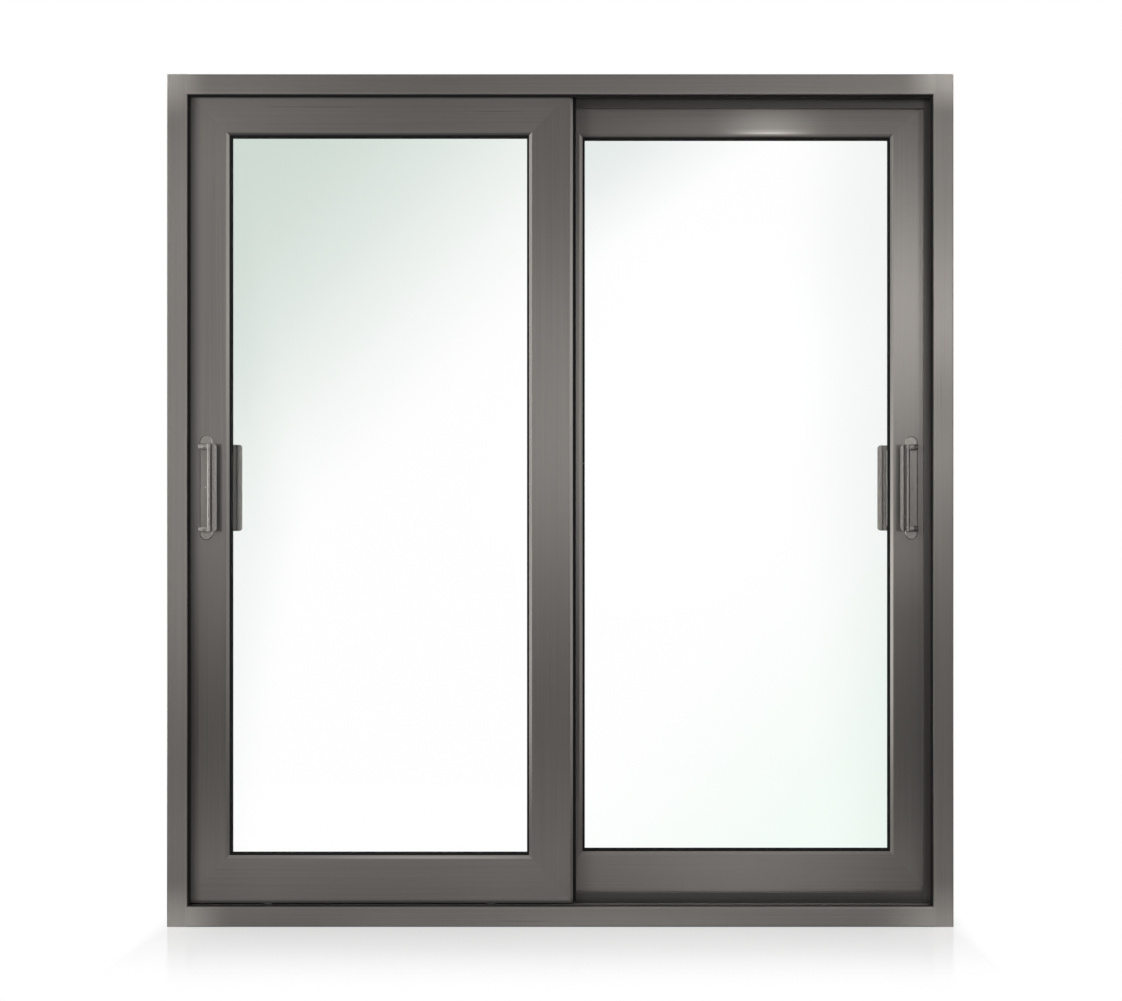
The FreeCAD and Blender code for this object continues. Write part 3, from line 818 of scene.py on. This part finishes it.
# A pale floor, white but for a soft shadow and a faint mirror image under the door. Spans are
# distances from the door's middle, along Y, or along X where they are called sides
ground = {
    "front": -3.2,
    "back": 4.0,
    "half": 4.0,
    "drop": 0.0005,
    "tone": 0.94,
    "shadow": 0.3,
    "shadowSpan": (0.05, 0.8),
    "shadowSides": (0.905, 0.965),
    "near": 0.2,
    "far": 0.7,
    "bounceSpan": (0.3, 0.8),
    "sheen": 0.5,
    "sheenSpan": (0.15, 0.95),
    "sheenSides": (0.95, 1.30),
    "ior": 1.42,
    "roughness": 0.15,
}


def buildFloor():
    bpy.ops.object.select_all(action="DESELECT")
    middle = (ground["back"] + ground["front"]) / 2
    bpy.ops.mesh.primitive_plane_add(size=1, location=(0, middle, -ground["drop"]))
    floor = bpy.context.object
    floor.name = "studio_floor"
    floor.scale = (2 * ground["half"], ground["back"] - ground["front"], 1)
    bpy.ops.object.transform_apply(location=True, rotation=True, scale=True)
    material, start, place = newFinish("pale floor")
    x, y, _ = place.axes()
    aside = x.size()
    spot = y.size()
    looked = start.node("LightPath", None, None, "Is Camera Ray")
    through = start.node("LightPath", None, None, "Is Transmission Ray")
    seen = looked.atLeast(through)
    plain = spot.ease(*ground["shadowSpan"]).atLeast(aside.ease(*ground["shadowSides"]))
    # For all but camera and transmission rays the floor is no lit surface but glows with this level,
    # dimmer near the door than further off: a painted bounce light with painted shade under the door
    bounce = spot.ease(*ground["bounceSpan"]) * (ground["far"] - ground["near"]) + ground["near"]
    matt = start.node("BsdfDiffuse", None, {"Color": (*[ground["tone"]] * 3, 1)})
    white = start.node("Emission", None, {"Strength": seen * (1 - bounce) + bounce})
    pale = start.node("MixShader", None, {0: 1 - seen * (1 - plain) * ground["shadow"], 1: matt, 2: white})
    gloss = start.node("BsdfGlossy", None, {"Color": (1, 1, 1, 1), "Roughness": ground["roughness"]})
    fade = (1 - spot.ease(*ground["sheenSpan"])) * (1 - aside.ease(*ground["sheenSides"]))
    sheen = start.node("Fresnel", None, {"IOR": ground["ior"]}) * fade * ground["sheen"]
    surface = start.node("MixShader", None, {0: sheen, 1: pale, 2: gloss})
    start.node("OutputMaterial", None, {"Surface": surface})
    floor.data.materials.append(material)


# Soft cards behind the camera, brightest in the middle and fading to nothing at the rim;
# they hang one behind another, so that where they overlap they add up
rack = {"size": (2.0, 1.6), "first": -7.70, "step": 0.02}
cards = {
    "left_card": {"place": (-2.2, 1.1), "level": 4.95},
    "high_left_card": {"place": (-2.2, 2.6), "level": 2.1},
    "middle_card": {"place": (0.2, 1.1), "level": 6.35},
    "key_card": {"place": (0.8, 1.8), "level": 4.1},
    "right_card": {"place": (1.5, 1.8), "level": 2.6},
    "far_right_card": {"place": (2.6, 1.8), "level": 8.5},
    "high_right_card": {"place": (2.6, 2.6), "level": 7.85},
    "far_left_card": {"place": (-3.6, 2.4), "level": 5.5},
}


def buildCards():
    wide, tall = rack["size"]
    stretch = (2 / wide, 0, 2 / tall)
    for number, (name, card) in enumerate(cards.items()):
        x, z = card["place"]
        bpy.ops.object.select_all(action="DESELECT")
        bpy.ops.mesh.primitive_plane_add(size=1, location=(x, rack["first"] - number * rack["step"], z),
                                         rotation=(quarterTurn, 0, 0))
        board = bpy.context.object
        board.name = name
        board.scale = (wide, tall, 1)
        bpy.ops.object.transform_apply(location=True, rotation=True, scale=True)
        material, start, place = newFinish(name)
        shift = (-x * stretch[0], 0, -z * stretch[2])
        local = start.node("Mapping", None, {"Vector": place, "Location": shift, "Scale": stretch})
        away = start.node("VectorMath", {"operation": "LENGTH"}, {0: local}, "Value")
        shine = start.node("Emission", None, {"Strength": (1 - away).ease(0.0, 1.0) * card["level"]})
        clear = start.node("BsdfTransparent")
        surface = start.node("AddShader", None, {0: shine, 1: clear})
        start.node("OutputMaterial", None, {"Surface": surface})
        board.data.materials.append(material)
        board.visible_camera = False
        board.visible_transmission = False
        board.visible_shadow = False


# A soft key from the left; it throws the shadows of the lips and the pulls
key = {"place": (-2.4, -4.6, 2.2), "target": (0, 0, 1.0), "size": 1.2, "power": 125.0}


def buildKey():
    bulb = bpy.data.lights.new("key", "AREA")
    bulb.size = key["size"]
    bulb.energy = key["power"]
    lamp = bpy.data.objects.new("key", bulb)
    scene.collection.objects.link(lamp)
    lamp.location = key["place"]
    lamp.rotation_euler = (Vector(key["target"]) - lamp.location).to_track_quat("-Z", "Y").to_euler()
    lamp.visible_glossy = False


# The camera looks straight at the door, level with its middle and a little to the right of it
view = {"place": (0.187, -6.478, 1.0), "sensor": 36, "lens": 87.57, "shiftX": -0.0704, "far": 100}


def buildCamera():
    lens = bpy.data.cameras.new("camera")
    lens.sensor_width = view["sensor"]
    lens.lens = view["lens"]
    lens.shift_x = view["shiftX"]
    lens.clip_end = view["far"]
    camera = bpy.data.objects.new("camera", lens)
    scene.collection.objects.link(camera)
    camera.location = view["place"]
    camera.rotation_euler = (quarterTurn, 0, 0)
    scene.camera = camera


buildWorld()
buildFloor()
buildCards()
buildKey()
buildCamera()
print("studio ready")
